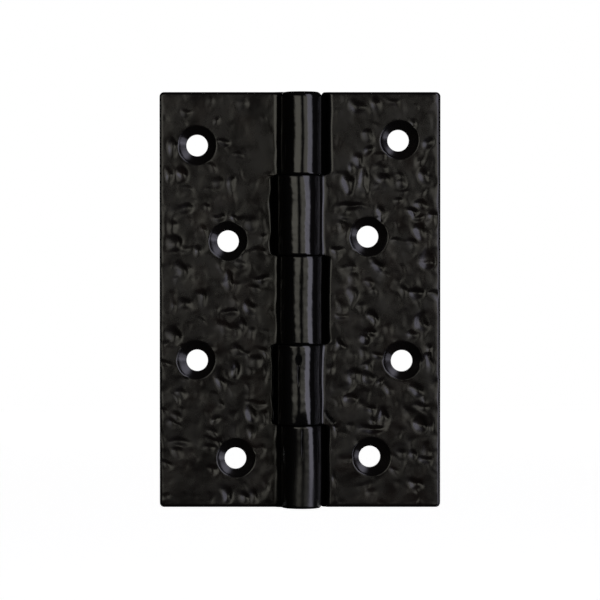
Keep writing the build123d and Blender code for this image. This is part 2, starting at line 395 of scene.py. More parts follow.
LEFT_LEAF = Leaf(
    side=-1,
    play=PLAY,
    knuckle_first=True,
    bore=PIN_RADIUS + TIGHT_FIT,
    riveted=True,
    seed=11,
    smooth_top=0.6,
    free_roll=0.08,
    holes=LEFT_HOLES,
    dents=LEFT_DENTS,
    smooth=LEFT_SMOOTH,
    crease=(),
    pits=LEFT_PITS,
    worn=(),
    edges=LEFT_EDGES,
)
RIGHT_LEAF = Leaf(
    side=1,
    play=-PLAY,
    knuckle_first=False,
    bore=PIN_RADIUS + TURNING_FIT,
    riveted=False,
    seed=23,
    smooth_top=0.2,
    free_roll=0.35,
    holes=RIGHT_HOLES,
    dents=RIGHT_DENTS,
    smooth=RIGHT_SMOOTH,
    crease=RIGHT_CREASE,
    pits=RIGHT_PITS,
    worn=RIGHT_WORN,
    edges=RIGHT_EDGES,
)


def round_off(distance, radius):
    """How far a rounded edge has fallen back: radius - sqrt(radius^2 - (radius - distance)^2)."""
    near = np.clip(radius - distance, 0, radius)
    return radius - np.sqrt(np.maximum(radius ** 2 - near ** 2, 0))


def oval_off(distance, across, along):
    """How far an oval corner has fallen back: across * (1 - sqrt(1 - (1 - distance / along)^2))."""
    near = np.clip(1 - distance / along, 0, 1)
    return across * (1 - np.sqrt(1 - near ** 2))


def stations(low, high, near_low, near_high):
    """Places from low to high, about STEP apart, closing up at each end as its steps say."""
    start = low + near_low[-1]
    stop = high - near_high[-1]
    count = int(round((stop - start) / STEP)) + 1
    return np.concatenate([low + near_low[:-1], np.linspace(start, stop, count), high - near_high[-2::-1]])


def between(start, end, shares):
    """Lines of points from one line to another: start * (1 - share) + end * share, for each share."""
    share = shares[:, None, None]
    return start * (1 - share) + end * share


def arc(centre, radius, start, end, steps):
    """Points at equal angles on a circle: centre + radius * (cos, sin)."""
    angles = np.linspace(start, end, steps + 1)
    return np.stack([centre[0] + radius * np.cos(angles), centre[1] + radius * np.sin(angles)], -1)


def waves(x, z, seed, kind):
    """A smooth field of about unit size: a sum of seeded cosines with wavelengths in a range."""
    number, shortest, longest, count = kind
    draw = np.random.default_rng(seed + number)
    total = np.zeros_like(x)
    for _ in range(count):
        turn = draw.uniform(0, 2 * np.pi)
        pitch = 2 * np.pi / draw.uniform(shortest, longest)
        total += np.cos(pitch * (np.cos(turn) * x + np.sin(turn) * z) + draw.uniform(0, 2 * np.pi))
    return total * math.sqrt(2 / count)


def bowls(x, z, slant, rim, dents):
    """Depth of oval bowls, each depth * (1 - r^2) * (1 + s), with rims that are soft where rim is high.

    s runs from -1 to 1 across a bowl, up and towards slant, where a slanting blow leaves a steep wall. It is
    0 where slant is 0.
    """
    depth = np.zeros_like(x)
    for across, up, half_width, half_height, deep in dents:
        away_x = (x - across) / half_width
        away_z = (z - up) / half_height
        bowl = 1 - away_x ** 2 - away_z ** 2
        skew = 1 + abs(slant) * np.clip(slant * SLANT_ACROSS * away_x + SLANT_UP * away_z, -1, 1)
        depth += deep * skew * 0.5 * (bowl + np.sqrt(bowl ** 2 + rim))
    return depth


def smooth_share(x, z, patches):
    """1 in the smoother patches, fading out at their rims: 2 * (1 - r^2), held between 0 and 1."""
    share = np.zeros_like(x)
    for across, up, half_width, half_height in patches:
        away = ((x - across) / half_width) ** 2 + ((z - up) / half_height) ** 2
        share = np.maximum(share, np.clip(2 * (1 - away), 0, 1))
    return share


def worn_ends(x, z, ends):
    """Depth of worn knuckle ends, each depth * exp(-across^2) * (1 - along)^2."""
    depth = np.zeros_like(x)
    for across, up, half_width, reach, deep in ends:
        along = np.clip(np.abs(z - up) / reach, 0, 1)
        depth += deep * np.exp(-((x - across) / half_width) ** 2) * (1 - along) ** 2
    return depth


# The web joins the face where both leaves' plate columns begin
BARREL_CENTRE = np.array([-BARREL_DRIFT, 0.0])
WEB_CENTRE = np.array([
    -BARREL_DRIFT + math.sqrt((BARREL + WEB_ROUND) ** 2 - (FACE - WEB_ROUND) ** 2),
    FACE - WEB_ROUND,
])
ROOT = WEB_CENTRE[0]


def knuckle_path():
    """A knuckle's section from the face round the barrel to the back: hollow web arc, barrel arc, flat.

    Gives the points, the directions into the metal and a share that is 0 on the leaf and 1 on the barrel.
    """
    lean = math.atan2(*(BARREL_CENTRE - WEB_CENTRE)[::-1])
    web = arc(WEB_CENTRE, WEB_ROUND, math.pi / 2, lean + 2 * math.pi, WEB_STEPS)
    meet = math.atan2(*(WEB_CENTRE - BARREL_CENTRE)[::-1])
    front = -math.pi / 2
    turns = np.concatenate([
        np.linspace(meet, front + FINE_TURN, SIDE_BARREL_STEPS + 1)[1:],
        np.linspace(front + FINE_TURN, front - FINE_TURN, FRONT_BARREL_STEPS + 1)[1:],
        np.linspace(front - FINE_TURN, math.pi / 2 - 2 * math.pi, BACK_BARREL_STEPS + 1)[1:],
    ])
    barrel = BARREL_CENTRE + BARREL * np.stack([np.cos(turns), np.sin(turns)], -1)
    flat_x = np.linspace(-BARREL_DRIFT, ROOT, BACK_STEPS + 1)[1:]
    flat = np.stack([flat_x, np.full_like(flat_x, BARREL)], -1)
    inward = np.concatenate([
        (web - WEB_CENTRE) / WEB_ROUND,
        (BARREL_CENTRE - barrel) / BARREL,
        np.tile([0.0, -1.0], (BACK_STEPS, 1)),
    ])
    along = np.concatenate([
        np.linspace(0, 1, WEB_STEPS + 1),
        np.ones(len(turns)),
        np.linspace(1, 0, BACK_STEPS + 1)[1:],
    ])
    along = along * along * (3 - 2 * along)
    return np.concatenate([web, barrel, flat]), inward, along


# The section's angles about the pin, how far it faces the front, its ends' rounding and the joints' painted
# shade
SECTION, INWARD, ON_BARREL = knuckle_path()
ANGLES = np.unwrap(np.arctan2(SECTION[:, 1], SECTION[:, 0]))
FACING = np.clip(-np.sin(ANGLES), 0, 1)
FOOT_ROUNDS = EDGE_ROUND + (BARREL_FOOT_ROUND - EDGE_ROUND) * ON_BARREL
TOP_ROUNDS = EDGE_ROUND + (BARREL_TOP_ROUND - EDGE_ROUND) * ON_BARREL
INNER_ROUNDS = KNUCKLE_END_ROUND * ON_BARREL * np.maximum(FACING, LEAST_END_ROUND)
JOINT_PAINTED_SHADES = JOINT_PAINTED_SHADE * (1 + JOINT_SIDE_PAINTED_SHADE * (1 - FACING))
BORE_ANGLES = np.concatenate([
    ANGLES,
    np.linspace(ANGLES[-1], ANGLES[0] - 2 * np.pi, SIDE_STEPS + 1)[1:-1],
])


def bore_ring(radius, height):
    """A circle about the pin's axis: radius * (cos, sin), with a height for each of its points."""
    return np.stack([radius * np.cos(BORE_ANGLES), radius * np.sin(BORE_ANGLES), height], -1)


def roll_start(face):
    """How far from the pin's axis a face turns down into a cove: sqrt((cove + roll)^2 - (face + roll)^2)."""
    return np.sqrt((COVE + COVE_ROUND) ** 2 - (face + COVE_ROUND) ** 2)


@dataclass
class Zone:
    """A leaf's knuckle or cut-out: its number from the foot and from the top, its heights and its rows."""
    from_foot: int
    from_top: int
    is_knuckle: bool
    height: np.ndarray
    rows: slice


def leaf_zones(leaf):
    """A leaf's knuckles and cut-outs by turns, from the foot up. Neighbours share a row."""
    outer = OUTER_JOINT + leaf.play
    inner = INNER_JOINT - leaf.play
    bounds = (-HALF_HEIGHT, -outer, -inner, inner, outer, HALF_HEIGHT)
    last = len(bounds) - 2
    zones = []
    first_row = 0
    for index in range(last + 1):
        near_low = OUTER_END if index == 0 else GAP_END
        near_high = OUTER_END if index == last else GAP_END
        height = stations(bounds[index], bounds[index + 1], near_low, near_high)
        rows = slice(first_row, first_row + len(height))
        zones.append(Zone(index, last - index, leaf.knuckle_first == (index % 2 == 0), height, rows))
        first_row += len(height) - 1
    return zones


class Layout:
    """A leaf's zones and, for each row, where its face, back, lip and edge by the barrels are.

    shift and waver draw that edge away from the pin, and first_x is where the plate begins.
    """

    def __init__(self, leaf):
        self.zones = leaf_zones(leaf)
        self.rows = np.concatenate([self.zones[0].height] + [zone.height[1:] for zone in self.zones[1:]])
        below_top = HALF_HEIGHT - self.rows
        above_foot = HALF_HEIGHT + self.rows
        end_drop = round_off(HALF_HEIGHT - np.abs(self.rows), EDGE_ROUND)
        self.face = FACE + end_drop
        self.back = BARREL - end_drop
        self.lip = LIP + oval_off(below_top, *LIP_TOP_ROUND) + oval_off(above_foot, *LIP_FOOT_ROUND)
        self.waver = EDGE_WAVER * waves(np.zeros_like(self.rows), self.rows, leaf.seed, EDGE_WAVES)
        self.shift = np.zeros_like(self.rows)
        self.first_x = np.zeros_like(self.rows)
        for zone in self.zones:
            self.place_edge(zone, leaf.edges[zone.from_top])

    def place_edge(self, zone, stand_out):
        """Sets a zone's edge: a web's at its root, a cut-out's at its roll, drawn to the root at the joints.

        It is drawn there round an arc: (root - roll) * (1 - sqrt(1 - share^2)).
        """
        gap = np.full(len(zone.height), np.inf)
        if zone.from_foot > 0:
            gap = np.minimum(gap, zone.height - zone.height[0])
        if zone.from_top > 0:
            gap = np.minimum(gap, zone.height[-1] - zone.height)
        share = np.clip(1 - gap / PLAN_ROUND, 0, 1)
        rows = zone.rows
        self.waver[rows] += stand_out * (1 - share)
        if zone.is_knuckle:
            self.first_x[rows] = ROOT + self.waver[rows]
        else:
            self.shift[rows] = (ROOT - roll_start(FACE)) * (1 - np.sqrt(1 - share ** 2))
            self.first_x[rows] = roll_start(self.face[rows]) + self.shift[rows] + self.waver[rows]


def edge_distance(x, z):
    """How far a place on the plate is in from its outline, a rectangle with two rounded free corners."""
    across = HALF_WIDTH - x
    up = HALF_HEIGHT - np.abs(z)
    in_corner = (across < PLAN_ROUND) & (up < PLAN_ROUND)
    arc_gap = PLAN_ROUND - np.hypot(PLAN_ROUND - across, PLAN_ROUND - up)
    return np.maximum(np.where(in_corner, arc_gap, np.minimum(across, up)), 0)


def round_plan(x, z):
    """Draws a plate grid's free corners in to the outline's arcs, along rays from a point inside.

    The point is two radii in. A ray (u, v) with its longer side 1, and its shorter one over a half, meets the
    arc at the share (u + v + sqrt(2 u v)) / (2 (u^2 + v^2)) of its length. The pull fades out inwards.
    """
    tiny = 1e-9
    reach = 2 * PLAN_ROUND
    across = np.clip((x - HALF_WIDTH + reach) / reach, 0, 1)
    up = np.clip((np.abs(z) - HALF_HEIGHT + reach) / reach, 0, 1)
    most = np.maximum(np.maximum(across, up), tiny)
    u = across / most
    v = up / most
    ratio = 0.5 * (u + v + np.sqrt(2 * u * v)) / np.maximum(u * u + v * v, tiny)
    ratio = np.where(np.minimum(u, v) > 0.5, ratio, 1.0)
    pull = 1 - most ** PLAN_EASE * (1 - ratio)
    inside = (across > 0) & (up > 0)
    new_x = np.where(inside, HALF_WIDTH - reach + reach * across * pull, x)
    new_z = np.where(inside, np.sign(z) * (HALF_HEIGHT - reach + reach * up * pull), z)
    return new_x, new_z


def drill(x, z, hole, drift):
    """Draws a square block of a plate grid into rings about a hole, and gives its middle row and column.

    Rings are circles from the hole's edge to just past the countersink, then ease back to the grid.
    """
    row = int(np.argmin(np.abs(z[:, 0] - hole[1])))
    column = int(np.argmin(np.abs(x[row] - hole[0])))
    block = (
        slice(row - LAST_RING, row + LAST_RING + 1),
        slice(column - LAST_RING, column + LAST_RING + 1),
    )
    down, across = np.mgrid[-LAST_RING:LAST_RING + 1, -LAST_RING:LAST_RING + 1].astype(float)
    ring = np.maximum(np.abs(down), np.abs(across)).astype(int)
    wide = np.abs(across) >= np.abs(down)
    safe_across = np.where(across == 0, 1, across)
    safe_down = np.where(down == 0, 1, down)
    angle = np.where(
        wide,
        np.pi / 4 * down / safe_across + np.where(across < 0, np.pi, 0),
        np.pi / 2 - np.pi / 4 * across / safe_down + np.where(down < 0, np.pi, 0),
    )
    shift = np.clip((ring - HOLE_RING) / (SINK_RING - HOLE_RING), 0, 1)
    ease = np.clip((ring - FLAT_RING) / (LAST_RING - FLAT_RING), 0, 1)
    circle_x = hole[0] + shift * drift[0] + RING_RADII[ring] * np.cos(angle)
    circle_z = hole[1] + shift * drift[1] + RING_RADII[ring] * np.sin(angle)
    x[block] = (1 - ease) * circle_x + ease * x[block]
    z[block] = (1 - ease) * circle_z + ease * z[block]
    return row, column


def ring_nodes(row, column):
    """Rows and columns of a hole's edge, once round."""
    side = np.arange(-HOLE_RING, HOLE_RING)
    full = np.full(2 * HOLE_RING, HOLE_RING)
    rows = np.concatenate([-full, side, full, -side]) + row
    columns = np.concatenate([side, full, -side, -full]) + column
    return rows, columns


def rim_nodes(row_count, column_count):
    """Rows and columns of the plate's outline: along the foot, up the free edge and back along the top."""
    last_row = row_count - 1
    last_column = column_count - 1
    along = np.arange(column_count)
    rows = np.concatenate([np.zeros_like(along), np.arange(1, last_row), np.full_like(along, last_row)])
    columns = np.concatenate([along, np.full(row_count - 2, last_column), along[::-1]])
    return rows, columns


def sink_depth(away):
    """Depth of a countersink, by the distance out from its rim.

    It is a drill's cone, slope * (distance in - run of the step), with a short steep step at the rim. Paint
    softens both, and the step's soft foot ends a skirt's width outside the rim.
    """
    inset = -away
    cone = (inset - SINK_STEP_RUN) * SINK_SLOPE
    cone = 0.5 * (cone + np.sqrt(cone ** 2 + SINK_CONE_SOFT ** 2))
    step = SINK_STEP * 0.5 * (1 + np.tanh((inset - 0.5 * SINK_STEP_RUN) / SINK_STEP_SOFT))
    return np.where(inset > -SINK_SKIRT, step + cone * (inset > 0), 0)


def beaten(leaf, x, z, rough):
    """Depth of the beaten face: the bowls of the blows over worn hollows, on a wavering grid.

    The hollows are where a field of seeded waves stands high, over finer waves and a slow swell.
    """
    bent_x = x + BEND * waves(x, z, leaf.seed, BEND_ACROSS)
    bent_z = z + BEND * waves(x, z, leaf.seed, BEND_UP)
    lean = waves(x, z, leaf.seed, HOLLOWS)
    leaning_x = bent_x - leaf.side * LEAN_ACROSS * lean
    leaning_z = bent_z - LEAN_UP * lean
    high = np.clip(waves(leaning_x, leaning_z, leaf.seed, HOLLOWS) - HOLLOW_LEVEL, 0, None)
    depth = SWELL_DEPTH * waves(x, z, leaf.seed, SWELL)
    depth += rough * HOLLOW_DEPTH * high ** HOLLOW_POWER
    depth += rough * RIPPLE_DEPTH * waves(bent_x, bent_z, leaf.seed, RIPPLE)
    depth += rough * FINE_RIPPLE_DEPTH * waves(bent_x, bent_z, leaf.seed, FINE_RIPPLE)
    return depth + bowls(bent_x, bent_z, leaf.side, SOFT_RIM, leaf.dents)


def plate_front(leaf, layout, x, z):
    """The plate's front: face + rounded outline + countersinks, rolled edge, crease and beating.

    Gives its points, how coarse the casting is and how much painted shade lies in the crease. The beating
    fades out at the countersinks, the outline and the barrels, and is weaker at the top and in the smoother
    patches.
    """
    hollow = np.zeros_like(x)
    calm = np.ones_like(x)
    grain = np.full_like(x, CAST)
    for hole, drift in leaf.holes:
        away = np.hypot(x - hole[0] - drift[0], z - hole[1] - drift[1]) - SINK
        hollow += sink_depth(away)
        calm *= np.clip(away / SINK_CALM_RUN + SINK_CALM_SHARE, 0, 1)
        grain *= SINK_GRAIN + (1 - SINK_GRAIN) * np.clip(away / SINK_GRAIN_RUN, 0, 1)
    inset = edge_distance(x, z)
    past_edge = x - layout.first_x[:, None]
    calm *= np.clip(inset / OUTLINE_CALM_RUN, 0, 1) * np.clip(past_edge / BARREL_CALM_RUN, 0, 1)
    grain *= np.clip(inset / OUTLINE_GRAIN_RUN, 0, 1)
    rough = 1 - leaf.smooth_top * np.clip((z - SMOOTH_TOP_START) / SMOOTH_TOP_RUN, 0, 1)
    rough *= 1 - SMOOTH_PATCH_SHARE * smooth_share(x, z, leaf.smooth)
    rolled = leaf.free_roll * np.clip(1 - (HALF_WIDTH - x) / ROLL_REACH, 0, 1) ** 2
    creased = bowls(x, z, 0, SHARP_RIM, leaf.crease) * np.clip(past_edge / CREASE_RUN, 0, 1)
    hollow += rolled + creased + beaten(leaf, x, z, rough) * calm
    y = FACE + round_off(inset, EDGE_ROUND) + hollow
    # Painted shade: the crease's depth sets how much dull black lies in it
    return np.stack([x, y, z], -1), grain, np.clip(creased / CREASE_PAINTED_SHADE, 0, 1)


def add_plate(shell, leaf, layout):
    """Adds the plate's front, back, screw holes and rim, and gives the rim, from front to back.

    The back is barrel - rounded outline, and straight walls join the two.
    """
    flat_end = HALF_WIDTH - FREE_EDGE[-1]
    columns = np.concatenate([
        np.linspace(ROOT, flat_end, int((flat_end - ROOT) / STEP) + 1),
        HALF_WIDTH - FREE_EDGE[-2::-1],
    ])
    plain_x, plain_z = np.meshgrid(columns, layout.rows)
    ease = np.clip(1 - (plain_x - ROOT) / EDGE_EASE, 0, 1)
    front_x, front_z = round_plan(plain_x + (layout.first_x - ROOT)[:, None] * ease, plain_z)
    back_x, back_z = round_plan(plain_x, plain_z)
    keep = np.ones((len(layout.rows) - 1, len(columns) - 1), bool)
    mouths = []
    for hole, drift in leaf.holes:
        row, column = drill(front_x, front_z, hole, drift)
        drill(back_x, back_z, hole, NO_DRIFT)
        keep[row - HOLE_RING:row + HOLE_RING, column - HOLE_RING:column + HOLE_RING] = False
        mouths.append(ring_nodes(row, column))
    front, grain, painted_shade = plate_front(leaf, layout, front_x, front_z)
    back_y = BARREL - round_off(edge_distance(back_x, back_z), EDGE_ROUND)
    behind = np.stack([back_x, back_y, back_z], -1)
    shell.grid(front, grain, keep, painted_shade=painted_shade)
    shell.grid(behind, CAST, keep)
    for mouth in mouths:
        wall = between(front[mouth], behind[mouth], np.linspace(0, 1, HOLE_STEPS + 1))
        shell.grid(wall, SMOOTH, closed=True)
    outline = rim_nodes(len(layout.rows), len(columns))
    rim = between(front[outline], behind[outline], np.linspace(0, 1, SIDE_STEPS + 1))
    shell.grid(rim, SMOOTH)
    return rim


def knuckle_painted_shade(zone, up, pitted, worn):
    """Painted shade on a knuckle: in its pits and worn end, along its joints and in the web's corner at the
    foot.
    """
    painted_shade = np.clip(pitted / PIT_PAINTED_SHADE - PIT_PAINTED_SHADE_START, 0, 1)
    painted_shade = np.maximum(painted_shade, np.clip(worn / WORN_PAINTED_SHADE, 0, 1))
    above = up - zone.height[0]
    below = zone.height[-1] - up
    if zone.from_foot > 0:
        painted_shade = np.maximum(painted_shade, np.clip(JOINT_PAINTED_SHADE_START - above / JOINT_PAINTED_SHADES, 0, 1))
    else:
        # Painted shade over the web's corner at the foot, in place of its glint
        corner = np.clip((SECTION[:, 0] - FOOT_CORNER) / FOOT_CORNER_RUN, 0, 1) * (SECTION[:, 1] <= FACE)
        painted_shade = np.maximum(painted_shade, corner * np.clip(FOOT_PAINTED_SHADE_START - above / FOOT_PAINTED_SHADE, 0, 1))
    if zone.from_top > 0:
        painted_shade = np.maximum(painted_shade, np.clip(JOINT_PAINTED_SHADE_START - below / JOINT_PAINTED_SHADES, 0, 1))
    return painted_shade


def knuckle_sections(leaf, layout, zone):
    """A knuckle's sections, one a row: section + inward * (rounded ends + paint, oval, pits and wear).

    Gives the painted shade on them too.
    """
    height = zone.height
    low_round = FOOT_ROUNDS if zone.from_foot == 0 else INNER_ROUNDS
    high_round = TOP_ROUNDS if zone.from_top == 0 else INNER_ROUNDS
    fall = round_off((height - height[0])[:, None], low_round)
    fall = fall + round_off((height[-1] - height)[:, None], high_round)
    turn = np.broadcast_to(BARREL * (ANGLES + np.pi / 2), fall.shape)
    up = np.broadcast_to(height[:, None], fall.shape)
    seed = leaf.seed + zone.from_foot
    uneven = UNEVEN * (UNEVEN_INSET + waves(turn, up, seed, UNEVEN_WAVES))
    broken = BROKEN[zone.from_top] * waves(turn, up, seed, BROKEN_WAVES)
    oval = OVAL[zone.from_top] * (1 + leaf.side * np.sin(2 * ANGLES))
    pitted = bowls(turn, up, 0, SHARP_RIM, leaf.pits)
    worn = worn_ends(turn, up, leaf.worn)
    pressed = fall + (uneven + broken + oval + (pitted + worn)) * ON_BARREL
    sections = SECTION + INWARD * pressed[..., None]
    web = slice(WEB_STEPS + 1)
    sections[:, web, 0] += layout.waver[zone.rows, None] * (1 - ON_BARREL[web])
    return sections, knuckle_painted_shade(zone, up, pitted, worn)


def cut_sections(layout, zone):
    """A cut-out's sections, one a row, from the face to the back: rolled edge, cove, floor and lip.

    The layout's shift draws the edge and the cove away from the pin. Its waver does so too, but fades out
    down the cove. Gives the painted shade in the cove too.
    """
    face = layout.face[zone.rows, None]
    back = layout.back[zone.rows, None]
    shift = layout.shift[zone.rows, None]
    waver = layout.waver[zone.rows, None]
    lip = layout.lip[zone.rows, None]
    out = roll_start(face)
    start = np.arctan2(face + COVE_ROUND, out)
    turn = np.linspace(0, 1, ROLL_STEPS + 1) * (np.pi / 2 - start)
    roll_x = out - COVE_ROUND * np.sin(turn)
    roll_y = face + COVE_ROUND - COVE_ROUND * np.cos(turn)
    end = np.maximum(math.asin(COVE_FLOOR / COVE), start)
    sweep = np.linspace(0, 1, COVE_STEPS + 1)[1:] * (end - start) + start
    fade = np.linspace(1, 0, ROLL_STEPS + COVE_STEPS + 1)
    edge_x = np.concatenate([roll_x, COVE * np.cos(sweep)], 1) + shift + waver * fade
    edge_y = np.concatenate([roll_y, COVE * np.sin(sweep)], 1)
    corner = np.linspace(0, np.pi / 2, LIP_STEPS + 1)
    lip_x = lip + LIP_ROUND * (1 - np.cos(corner))
    lip_y = back - LIP_ROUND * (1 - np.sin(corner))
    floor_y = np.minimum(edge_y[:, -1:], lip_y[:, :1])
    x = np.concatenate([np.maximum(edge_x, lip), lip, lip_x, np.full_like(lip, ROOT)], 1)
    y = np.concatenate([np.minimum(edge_y, floor_y), floor_y, lip_y, back], 1)
    step = np.arange(x.shape[1])
    # Painted shade from low on the rolled edge down the cove and over its floor, lip and back
    painted_shade = np.clip((step - ROLL_STEPS + COVE_PAINTED_SHADE_EARLY) / COVE_PAINTED_SHADE_STEPS, 0, 1)
    return np.stack([x, y], -1), painted_shade


def add_knuckle_ends(shell, leaf, number, points, rim):
    """Closes a knuckle: at each end a ring from its outline in to the bore, and between them the bore's wall.

    points holds each zone's points by its number from the foot. The outline goes on past the knuckle along
    the cut-out beside it, or along the rim at the leaf's own end.
    """
    mouths = []
    for end, neighbour in ((0, number - 1), (-1, number + 1)):
        in_joint = neighbour in points
        rest = points[neighbour][-1 - end] if in_joint else rim[:, end]
        outline = np.concatenate([points[number][end], rest[::-1][1:-1]])
        radius = RIVET_RADIUS + TIGHT_FIT if leaf.riveted and not in_joint else leaf.bore
        mouth = bore_ring(radius, outline[:, 2])
        ring = between(outline, mouth, KNUCKLE_END_SHARES)
        # Painted shade: knuckle ends inside a joint are wholly covered with dull black
        shell.grid(ring, COARSE, closed=True, painted_shade=1.0 if in_joint else 0.0)
        mouths.append(mouth)
    low, high = mouths
    low_seat = bore_ring(leaf.bore, low[:, 2] + RIVET_DEPTH)
    high_seat = bore_ring(leaf.bore, high[:, 2] - RIVET_DEPTH)
    shell.grid(np.stack([low, low_seat, high_seat, high]), COARSE, closed=True)


def grid_quads(number):
    """Quads of a grid of point numbers, one for each cell."""
    return np.stack([number[:-1, :-1], number[:-1, 1:], number[1:, 1:], number[1:, :-1]], -1)


class Shell:
    """Patches of points and faces, gathered into one closed mesh by joining points that coincide."""

    def __init__(self):
        self.points = []
        self.faces = []
        self.grain = []
        self.painted_shade = []
        self.count = 0

    def grid(self, points, grain, keep=None, closed=False, painted_shade=0.0):
        """Adds a grid of points, rows by columns, as quads. keep marks the cells that stay.

        grain says how coarse the casting under the paint is there, and the last argument how much painted
        shade lies on it, dull black in place of shade and reflections.
        """
        rows, columns = points.shape[:2]
        number = np.arange(rows * columns).reshape(rows, columns) + self.count
        if closed:
            number = np.concatenate([number, number[:, :1]], 1)
        quads = grid_quads(number)
        if keep is not None:
            quads = quads[keep]
        self.points.append(points.reshape(-1, 3))
        self.faces.append(quads.reshape(-1, 4))
        self.grain.append(np.broadcast_to(grain, (rows, columns)).reshape(-1))
        self.painted_shade.append(np.broadcast_to(painted_shade, (rows, columns)).reshape(-1))
        self.count += rows * columns

    def mesh(self, name, side):
        """The joined mesh in metres, mirrored to the -X side for a left leaf, faces outwards."""
        points = np.concatenate(self.points)
        keys = np.round(points / JOIN_STEP).astype(np.int64)
        _, first, place = np.unique(keys, axis=0, return_index=True, return_inverse=True)
        quads = place.reshape(-1)[np.concatenate(self.faces)]
        used, quads = np.unique(quads, return_inverse=True)
        quads = quads.reshape(-1, 4)
        corners = points[first][used] * MM
        corners[:, 0] *= side
        faces = [list(dict.fromkeys(quad)) for quad in quads.tolist()]
        data = bpy.data.meshes.new(name)
        data.from_pydata(corners.tolist(), [], [face for face in faces if len(face) > 2])
        work = bmesh.new()
        work.from_mesh(data)
        bmesh.ops.recalc_face_normals(work, faces=work.faces)
        work.to_mesh(data)
        work.free()
        data.polygons.foreach_set("use_smooth", np.ones(len(data.polygons), bool))
        for key, parts in (("grain", self.grain), ("painted_shade", self.painted_shade)):
            values = np.concatenate(parts)[first][used].astype(np.float32)
            data.attributes.new(key, "FLOAT", "POINT").data.foreach_set("value", values)
        data.update()
        return data


def leaf_mesh(name, leaf):
    """One leaf: plate front and back, rim, knuckles, cut-outs, knuckle ends, bores and screw holes."""
    shell = Shell()
    layout = Layout(leaf)
    rim = add_plate(shell, leaf, layout)
    points = {}
    for zone in layout.zones:
        if zone.is_knuckle:
            sections, painted_shade = knuckle_sections(leaf, layout, zone)
        else:
            sections, painted_shade = cut_sections(layout, zone)
        height = np.broadcast_to(zone.height[:, None], sections.shape[:2])
        points[zone.from_foot] = np.concatenate([sections, height[..., None]], -1)
        shell.grid(points[zone.from_foot], SMOOTH, painted_shade=painted_shade)
    for zone in layout.zones:
        if zone.is_knuckle:
            add_knuckle_ends(shell, leaf, zone.from_foot, points, rim)
    for zone, end in ((layout.zones[0], 0), (layout.zones[-1], -1)):
        if not zone.is_knuckle:
            shell.grid(between(points[zone.from_foot][end], rim[:, end], CUT_END_SHARES), SMOOTH)
    return shell.mesh(name, leaf.side)


class Socket:
    """A shader value: arithmetic on it adds Math nodes, and node() adds any other node."""

    def __init__(self, tree, link=None):
        self.tree = tree
        self.link = link

    def node(self, kind, settings=None, output=0, **inputs):
        """A node of a kind: its settings first, then the values or links of its sockets by name or number."""
        made = self.tree.nodes.new(kind)
        for key, value in (settings or {}).items():
            setattr(made, key, value)
        for key, value in inputs.items():
            target = made.inputs[int(key[1:]) if key[1:].isdigit() else key.replace("_", " ")]
            if isinstance(value, Socket):
                self.tree.links.new(value.link, target)
            else:
                target.default_value = value
        return Socket(self.tree, made.outputs[output])

    def feed(self, node, name):
        """Links the value to a node's socket."""
        self.tree.links.new(self.link, node.inputs[name])

    def maths(self, operation, first, second):
        """A Math node's result for two values."""
        return self.node("ShaderNodeMath", {"operation": operation}, i0=first, i1=second)

    def __add__(self, other):
        return self.maths("ADD", self, other)

    def __radd__(self, other):
        return self.maths("ADD", other, self)

    def __sub__(self, other):
        return self.maths("SUBTRACT", self, other)

    def __rsub__(self, other):
        return self.maths("SUBTRACT", other, self)

    def __mul__(self, other):
        return self.maths("MULTIPLY", self, other)

    def __rmul__(self, other):
        return self.maths("MULTIPLY", other, self)


def ramp(value, start, end):
    """0 before start, 1 after end and straight between them."""
    return value.node("ShaderNodeMapRange", {"clamp": True}, Value=value, From_Min=start, From_Max=end)


def noise(place, scale, detail=2.0, roughness=0.5):
    """Soft noise at a place, with about scale features to a metre."""
    return place.node("ShaderNodeTexNoise", Vector=place, Scale=scale, Detail=detail, Roughness=roughness)


def find_node(tree, kind):
    """The first node of a type in a tree."""
    return next(node for node in tree.nodes if node.type == kind)


def new_material(name):
    """A node material: itself, its tree's start for shader maths and its surface shader."""
    material = bpy.data.materials.new(name)
    material.use_nodes = True
    return material, Socket(material.node_tree), find_node(material.node_tree, "BSDF_PRINCIPLED")


